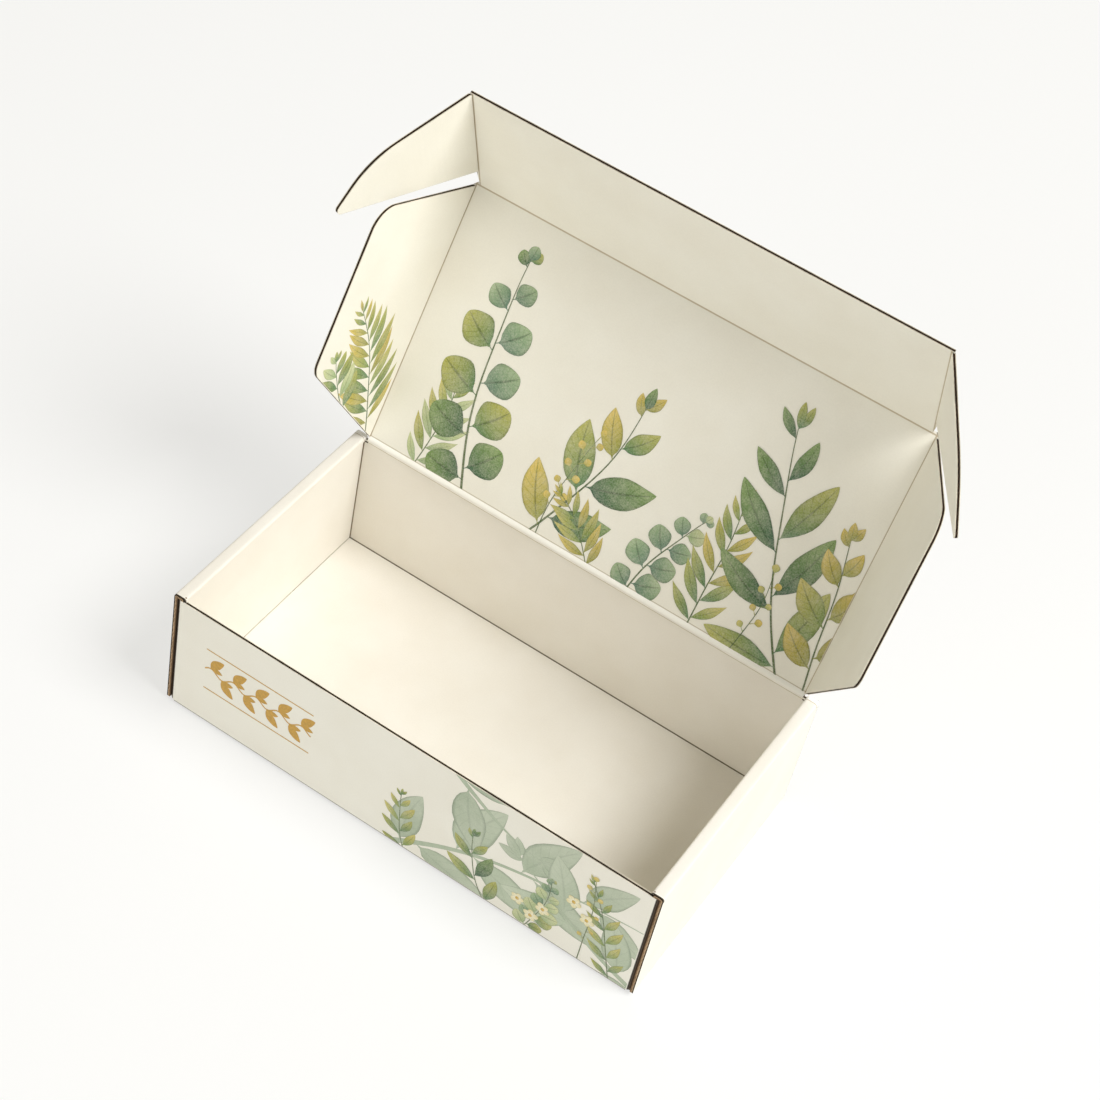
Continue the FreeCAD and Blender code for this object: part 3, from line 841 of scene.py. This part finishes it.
def twig_line(layers, root, heading, length, curve, first, last, ink=STEM_INK):
    """Paints a stem, and finds the place and the heading at given shares of its length."""
    heading, curve = math.radians(heading), math.radians(curve)
    share, line, angle = stem_line(np.array(root) * MM, heading, length * MM, curve)
    wide = np.linspace(first, last, len(line)) * MM
    layers["parts"].append(brush_line(line, angle, wide, ink, layers["top"]))

    def found(places):
        spots = np.stack([np.interp(places, share, column) for column in line.T], 1)
        return spots, np.interp(places, share, angle)

    return found


def lay_leaves(layers, base, heading, length, width, bend, form, inks, veins=1.0, first=1):
    """Lays leaves on top of what is there, each one step above the one before."""
    levels = layers["top"] + layers["step"] * (first + np.arange(len(base)))
    layers["parts"].append(leaf_shapes(base, heading, length, width, bend, form, inks, levels, veins))
    layers["top"] = levels[-1] + layers["step"]


def spray(layers, rng, root, heading, length, curve, pairs, leaf, form, names,
          splay=0.95, stem=0.9, bare=0.12, twig=STEM_INK):
    """A stem with leaves in pairs that shrink towards its end, and one at its tip."""
    found = twig_line(layers, root, heading, length, curve, stem, 0.35, twig)
    places = np.repeat(np.linspace(bare, 0.97, pairs), 2)
    side = np.tile([1.0, -1.0], pairs)
    places = np.clip(places + 0.25 / pairs * (side < 0) + rng.uniform(-0.01, 0.01, len(side)), 0, 1)
    places, side = np.append(places, 1.0), np.append(side, 0.0)
    count = len(side)
    base, along = found(places)
    open_out = splay * (1.1 - 0.4 * places) + rng.uniform(-0.08, 0.08, count)
    grown = (0.62 + 0.5 * np.sin(np.pi * np.clip(places * 0.9 + 0.12, 0, 1))) * (1 - 0.45 * places ** 3)
    grown = grown * rng.uniform(0.9, 1.1, count) * MM
    bend = -side * 0.3 + rng.uniform(-0.15, 0.15, count)
    lay_leaves(layers, base, along + side * open_out, leaf[0] * grown, leaf[1] * grown, bend, form,
               ink_pairs(names, count, rng))


def berries(layers, rng, root, heading, length, curve, count, size, names):
    """A fine twig with small round fruit along its outer part and one at its tip."""
    found = twig_line(layers, root, heading, length, curve, 0.55, 0.25)
    side = np.where(np.arange(count) % 2 == 0, 1.0, -1.0)
    side[-1] = 0.0
    base, along = found(np.linspace(0.35, 1.0, count))
    turn = along + side * rng.uniform(0.7, 1.1, count)
    long = size * 1.9 * MM * rng.uniform(0.85, 1.15, count)
    inks = ink_pairs(names, count, rng)
    lay_leaves(layers, base, turn, long, long * 0.56, np.zeros(count), FRUIT, inks, 0.0)


def blossom(layers, rng, spots, size):
    """Small five-petalled flowers: each petal a round leaf about its flower's middle, and a dot on top."""
    spots = np.array(spots, float) * MM
    count = len(spots)
    turn = rng.uniform(0, 2 * np.pi, (count, 1)) + np.arange(5) * 2 * np.pi / 5
    petals, hearts = [np.array([[linear(ink)[:3] for ink in pair]]) for pair in FLOWER_INKS]
    reach = np.full(5 * count, size * MM) * rng.uniform(0.85, 1.1, 5 * count)
    lay_leaves(layers, np.repeat(spots, 5, axis=0), turn.ravel(), reach, reach * 0.78, np.zeros(5 * count),
               PETAL, np.repeat(petals, 5 * count, axis=0), 0.35, 0)
    dot = np.full(count, size * 0.5 * MM)
    lay_leaves(layers, spots - [dot[0] / 2, 0.0], np.zeros(count), dot, dot, np.zeros(count),
               DOT, np.repeat(hearts, count, axis=0), 0.0, 0)


def kept_inside(flat, edges):
    """Moves each point that lies past a straight edge back onto it, so a print is cut there."""
    for spot, normal in edges:
        past = np.maximum(0.0, (flat - spot) @ np.array(normal))
        flat = flat - past[..., None] * normal
    return flat


def laid_on(layers, place, edges):
    """Turns flat print into points of a face, cut at its edges."""
    parts = []
    for part in layers["parts"]:
        flat = kept_inside(part["flat"], edges)
        parts.append({"points": place(flat, part["height"]), "place": part["place"], "ink": part["ink"]})
    return parts


def watercolour_material(name, vein=1.0, paper="#F1EBD9"):
    """Water-based ink on coated liner: matt, pooled dark at leaf edges, with veins and some bare paper.

    The side veins are a comb of the places along the leaf, slanted by the distance from the rib.
    """
    material, tree, place = new_material(name)
    ink = add_node(tree, "ShaderNodeAttribute", attribute_name="ink").outputs
    uv = add_node(tree, "ShaderNodeUVMap", uv_map="leaf").outputs[0]
    along, across, _ = add_node(tree, "ShaderNodeSeparateXYZ", {0: uv}).outputs
    off_rib = maths(tree, "ABSOLUTE", maths(tree, "MULTIPLY_ADD", across, 2.0, -1.0))
    slanted = maths(tree, "MULTIPLY_ADD", off_rib, -1.6, maths(tree, "MULTIPLY", along, 8.0))
    side_vein = ramp(tree, maths(tree, "PINGPONG", slanted, 0.5), 0.0, 0.09, 0.7, 0.0)
    lines = maths(tree, "MAXIMUM", side_vein, ramp(tree, off_rib, 0.03, 0.1, 1.0, 0.0))
    drawn = maths(tree, "MULTIPLY", maths(tree, "MULTIPLY", lines, ink["Alpha"]), 0.7 * vein)
    depth = maths(tree, "MAXIMUM", drawn, ramp(tree, off_rib, 0.8, 1.0, 0.0, 0.6))
    dark = darker(tree, ink["Color"], 1.0, (0.3, 0.36, 0.3))
    body = mixed(tree, depth, ink["Color"], dark)
    grain = noise(tree, place, 1500.0, 2.0)
    thin = maths(tree, "MULTIPLY_ADD", noise(tree, place, 170.0, 4.0), 0.7, grain)
    set_surface(tree, {
        "Base Color": mixed(tree, ramp(tree, thin, 0.7, 1.15, 0.0, 0.3), body, linear(paper)),
        "Roughness": ramp(tree, grain, 0.3, 0.7, 0.58, 0.7),
        "Normal": bumped(tree, grain, 0.000015), **COATED})
    return material


# What is painted in turn, in millimetres and degrees. A spray has its root, heading, length, curve, pairs
# of leaves, a leaf's length and width, form and inks, then its splay, stem width and share of bare stem.
# Berries have their count, size and inks after the curve.
LID_SPRAYS = (
    (spray, (-128, 0), 112, 86, 22, 11, (26, 5.2), WILLOW, ("olive", "green", "ochre"), 0.95, 0.8),
    (spray, (-150, 14), 148, 44, -30, 5, (19, 6.8), OLIVE, ("green", "pale"), 0.95, 0.6, 0.2),
    (spray, (-98, -5), 70, 60, 30, 8, (18, 4.4), WILLOW, ("pale", "olive"), 0.95, 0.6),
    (spray, (-66, -6), 110, 124, -26, 6, (22, 17.5), ROUND, ("deep", "green", "blue"), 1.2, 1.3, 0.1),
    (spray, (-36, -8), 54, 96, 30, 4, (32, 14), OVAL, ("deep", "green", "ochre"), 1.0, 1.1, 0.18),
    (berries, (-26, -4), 92, 62, -22, 9, 3.4, ("ochre",)),
    (spray, (6, -5), 116, 42, 34, 7, (16, 4), WILLOW, ("olive", "ochre"), 0.95, 0.5),
    (spray, (24, -5), 78, 58, -22, 5, (14, 11.5), ROUND, ("blue", "pale"), 1.2, 0.8),
    (spray, (58, -6), 84, 74, 10, 8, (20, 5), WILLOW, ("green", "olive", "ochre"), 0.9, 0.7),
    (spray, (112, -8), 122, 126, -22, 5, (38, 12), OLIVE, ("deep", "green", "deep"), 0.95, 1.2),
    (spray, (122, -8), 96, 84, 4, 4, (24, 12), OVAL, ("ochre", "olive"), 1.0, 0.9, 0.24),
    (berries, (80, -4), 70, 46, 26, 7, 3.2, ("ochre", "olive")),
)
SAGE = (OVAL, ("sage",), 0.95, 3.2, 0.08, INKS["sage"][0])
SAGE_BRANCHES = (
    (spray, (-6, -2), 36, 150, -36, 5, (48, 19), *SAGE),
    (spray, (22, 76), -44, 58, 34, 2, (40, 17), *SAGE),
    (spray, (134, 2), 158, 84, -20, 3, (36, 16), *SAGE),
)
FRONT_SPRIGS = (
    (spray, (8, -4), 112, 42, -24, 5, (13, 3.8), OLIVE, ("olive", "green"), 0.95, 0.5),
    (spray, (56, -6), 132, 50, -44, 4, (17, 6), OLIVE, ("deep", "green"), 0.95, 0.6),
    (spray, (70, -3), 62, 46, 30, 7, (9, 7), ROUND, ("blue", "pale", "green"), 1.2, 0.5),
    (spray, (118, -4), 100, 66, 14, 7, (13, 3.8), WILLOW, ("green", "olive"), 0.95, 0.5),
    (berries, (100, -4), 84, 62, 12, 8, 2.4, ("ochre",)),
    (blossom, [(66, 17), (74, 11), (79, 20), (92, 38), (100, 31)], 4.0),
)


def painted(settings, rng, rows, top=0.0):
    """Flat print in layers: each row's painter with its values, in turn."""
    layers = {"parts": [], "top": top, "step": settings.layer}
    for painter, *values in rows:
        painter(layers, rng, *values)
    return layers


class MAILER_OT_lid_print(bpy.types.Operator):
    """Prints leaf sprays inside the lid and across its left fold onto the side flap"""
    bl_idname = "mailer.lid_print"
    bl_label = "Lid print"

    def execute(self, context):
        settings = context.scene.mailer_print
        layers = painted(settings, np.random.default_rng(settings.seed), LID_SPRAYS)
        material = watercolour_material("watercolour_ink")
        lid, flap = PANELS["lid_panel"], PANELS["lid_side_flap_left"]
        crease = float(np.dot(flap["origin"] - lid["origin"], X_AXIS))
        lift = HALF_BOARD + settings.lift

        def on_panel(panel, along, flat, height):
            up = (lift + height)[..., None]
            return panel["origin"] + along * panel["a"] + flat[..., 1:2] * panel["b"] + up * panel["w"]

        def on_lid(flat, height):
            return on_panel(lid, flat[..., 0:1], flat, height)

        def on_flap(flat, height):
            return on_panel(flap, crease - flat[..., 0:1], flat, height)

        outline = panel_outline("lid_panel")
        low, high = outline.min(0), outline.max(0)
        lid_edges = (
            ((low[0] + PRINT_STOP, 0.0), (-1.0, 0.0)), ((high[0] - PRINT_STOP, 0.0), (1.0, 0.0)),
            ((0.0, low[1]), (0.0, -1.0)), ((0.0, high[1] - 0.001), (0.0, 1.0)))
        make_piece("leaf_print_lid", laid_on(layers, on_lid, lid_edges), material, "lid")
        ring = panel_outline("lid_side_flap_left")
        mirror, shift = np.array([-1.0, 1.0]), np.array([crease, 0.0])
        flap_edges = [
            (shift + (spot - normal * TRIM) * mirror, normal * mirror)
            for spot, normal in zip(ring, outline_sides(ring))]
        make_piece("leaf_print_left_flap", laid_on(layers, on_flap, flap_edges), material, "left_flap")
        return {"FINISHED"}


# Front print

class MAILER_OT_front_print(bpy.types.Operator):
    """Prints the front wall: a gold leaf border on the left, sage wash and small sprigs on the right"""
    bl_idname = "mailer.front_print"
    bl_label = "Front print"

    def execute(self, context):
        settings = context.scene.mailer_print
        rng = np.random.default_rng(settings.seed + 1)
        wash = painted(settings, rng, SAGE_BRANCHES)
        sprigs = painted(settings, rng, FRONT_SPRIGS, wash["top"] + 0.00001)
        gold = painted(settings, rng, ())
        self.border(gold, settings)
        flat_half, wall, lift = TRAY_HIGH[0] - 0.0041, TRAY_LOW[1], settings.lift

        def on_front(flat, height):
            turned = np.maximum(0.0, flat[..., 0] - flat_half) / BEND
            radius = BEND + lift + height
            x = np.minimum(flat[..., 0], flat_half) + radius * np.sin(turned)
            return np.stack([x, wall + BEND - radius * np.cos(turned), flat[..., 1]], -1)

        edges = (
            ((flat_half + 0.0004, 0.0), (1.0, 0.0)), ((0.0, BEND), (0.0, -1.0)),
            ((0.0, TRAY_HIGH[2] - WALL_DROP), (0.0, 1.0)))
        sage = watercolour_material("sage_wash_ink", 0.3, "#E3E6D6")
        leaf = bpy.data.materials["watercolour_ink"]
        for name, layers, material in (
            ("sage_wash_front", wash, sage), ("leaf_print_front", sprigs, leaf),
            ("gold_border_front", gold, gold_material(settings.gold_colour)),
        ):
            make_piece(name, laid_on(layers, on_front, edges), material, "tray")
        return {"FINISHED"}

    def border(self, gold, settings):
        """A running vine between two fine rules: leaf pairs at even steps on a sine."""
        first, last, level, step, swing = -110.0, -50.0, 38.0, 6.4, 1.8
        x = np.linspace(first, last, 120)
        still = np.zeros(len(x))
        wave = level + swing * np.sin((x - first) * np.pi / step)
        angle = np.arctan2(np.gradient(wave), np.gradient(x))
        low, high = still + level - 13.5, still + level + 13.5
        for height, way, wide in ((wave, angle, 0.8), (low, still, 0.7), (high, still, 0.7)):
            line = np.stack([x, height], 1) * MM
            gold["parts"].append(brush_line(line, way, still + wide * MM, settings.gold_colour, 0.0))
        start = np.arange(first + 3.0, last - 1.0, step)
        count = len(start)
        side = np.where(np.arange(count) % 2 == 0, 1.0, -1.0)
        base = np.stack([start, level + swing * np.sin((start - first) * np.pi / step)], 1) * MM
        inks = np.broadcast_to(linear(settings.gold_colour)[:3], (count, 2, 3))
        for turn, scale in ((1.1, 1.0), (0.25, 0.62)):
            size = np.full(count, 11.0 * MM * scale)
            height = np.full(count, settings.layer * 2 / scale)
            gold["parts"].append(leaf_shapes(
                base, side * turn, size, size * 0.44, -side * 0.5, OLIVE, inks, height, 0.0))


def gold_material(colour):
    """Gold bronze ink on coated liner: part metallic, satin, a little uneven."""
    material, tree, place = new_material("gold_ink")
    cloud = noise(tree, place, 700.0, 3.0)
    base = linear(colour)
    light = tuple(min(1.0, v * 1.3) for v in base)
    set_surface(tree, {
        "Base Color": mixed(tree, ramp(tree, cloud, 0.35, 0.65, 0.0, 1.0), base, light),
        "Roughness": ramp(tree, cloud, 0.3, 0.7, 0.38, 0.52), "Metallic": 0.35})
    return material


# Stage

ROOM_COLOUR = (1.0, 0.945, 0.79, 1.0)
GLOW_COLOUR = (1.0, 1.0, 0.99, 1.0)
FLOOR_DROP = 0.0002  # keeps the floor clear of the tray's underside
CAMERA_SPOT = (0.30024, -0.67255, 0.92035)
CAMERA_AHEAD = (-0.2705, 0.63288, -0.72546)
CAMERA_UP = (-0.48961, 0.55839, 0.66969)
LIT_SPOT = np.array([0.0, 0.0, 0.08])
LIGHTS = (
    ("key_light", (1.83, 0.16, 2.7), 1.8, "key_power"),
    ("side_light", (2.98, -0.31, 0.86), 2.4, "side_power"),
    ("front_light", (-0.73, -3.26, 1.53), 2.4, "front_power"),
)


class MAILER_OT_stage(bpy.types.Operator):
    """Sets the pale floor, the soft light from the right and the camera"""
    bl_idname = "mailer.stage"
    bl_label = "Stage"

    def execute(self, context):
        settings = context.scene.mailer_stage
        scene = context.scene
        scene.view_settings.view_transform = "Standard"
        world = bpy.data.worlds.new("white_room")
        world.use_nodes = True
        sky = world.node_tree.nodes["Background"]
        sky.inputs["Color"].default_value = ROOM_COLOUR
        sky.inputs["Strength"].default_value = settings.fill_strength
        scene.world = world
        material, tree, place = new_material("lit_opal_acrylic_floor")
        base = linear(settings.floor_colour)
        soft = tuple(v * 0.985 for v in base[:3]) + (1.0,)
        set_surface(tree, {
            "Base Color": mixed(tree, noise(tree, place, 3.0, 2.0), base, soft),
            "Roughness": 0.9, "Specular IOR Level": 0.1,
            "Emission Color": GLOW_COLOUR, "Emission Strength": settings.floor_glow})
        reach = np.linspace(-4.0, 4.0, 9)
        ground = np.stack(np.broadcast_arrays(reach[:, None], reach[None, :], np.array(-FLOOR_DROP)), -1)
        floor = make_piece("studio_floor", [{"points": ground[None]}], material)
        for name, spot, size, power in LIGHTS:
            data = bpy.data.lights.new(name, "AREA")
            data.shape, data.size, data.energy = "DISK", size, getattr(settings, power)
            lamp = bpy.data.objects.new(name, data)
            scene.collection.objects.link(lamp)
            lamp.location = spot
            lamp.rotation_euler = Vector(LIT_SPOT - np.array(spot)).to_track_quat("-Z", "Y").to_euler()
        data = bpy.data.cameras.new("camera")
        data.sensor_width, data.lens = 36.0, settings.focal_length
        data.clip_start, data.clip_end = 0.05, 30.0
        camera = bpy.data.objects.new("camera", data)
        scene.collection.objects.link(camera)
        forward = Vector(CAMERA_AHEAD).normalized()
        right = forward.cross(Vector(CAMERA_UP)).normalized()
        up = right.cross(forward)
        turn = Matrix((right, up, -forward)).transposed().to_4x4()
        camera.matrix_world = Matrix.Translation(CAMERA_SPOT) @ turn
        scene.camera = camera
        return {"FINISHED"}


class MAILER_PT_panel(bpy.types.Panel):
    """Lists the steps that finish the box"""
    bl_idname = "MAILER_PT_panel"
    bl_label = "Mailer Box"
    bl_space_type = "VIEW_3D"
    bl_region_type = "UI"
    bl_category = "Mailer Box"

    def draw(self, context):
        for group in ("mailer_board", "mailer_print", "mailer_stage"):
            settings = getattr(context.scene, group)
            for name in settings.__annotations__:
                self.layout.prop(settings, name)
        for step in STEPS:
            self.layout.operator(step.bl_idname)


STEPS = (MAILER_OT_board, MAILER_OT_cut_edges, MAILER_OT_creases, MAILER_OT_lid_print, MAILER_OT_front_print,
         MAILER_OT_stage)
SETTINGS = {
    "mailer_board": MailerBoardSettings,
    "mailer_print": MailerPrintSettings,
    "mailer_stage": MailerStageSettings,
}
CLASSES = (*SETTINGS.values(), *STEPS, MAILER_PT_panel)


def register():
    for made in CLASSES:
        bpy.utils.register_class(made)
    for name, made in SETTINGS.items():
        setattr(bpy.types.Scene, name, bpy.props.PointerProperty(type=made))


def unregister():
    for name in SETTINGS:
        delattr(bpy.types.Scene, name)
    for made in reversed(CLASSES):
        bpy.utils.unregister_class(made)


def main():
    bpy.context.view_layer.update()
    register()
    bpy.ops.mailer.board()
    bpy.ops.mailer.cut_edges()
    bpy.ops.mailer.creases()
    bpy.ops.mailer.lid_print()
    bpy.ops.mailer.front_print()
    bpy.ops.mailer.stage()


if __name__ == "__main__":
    main()
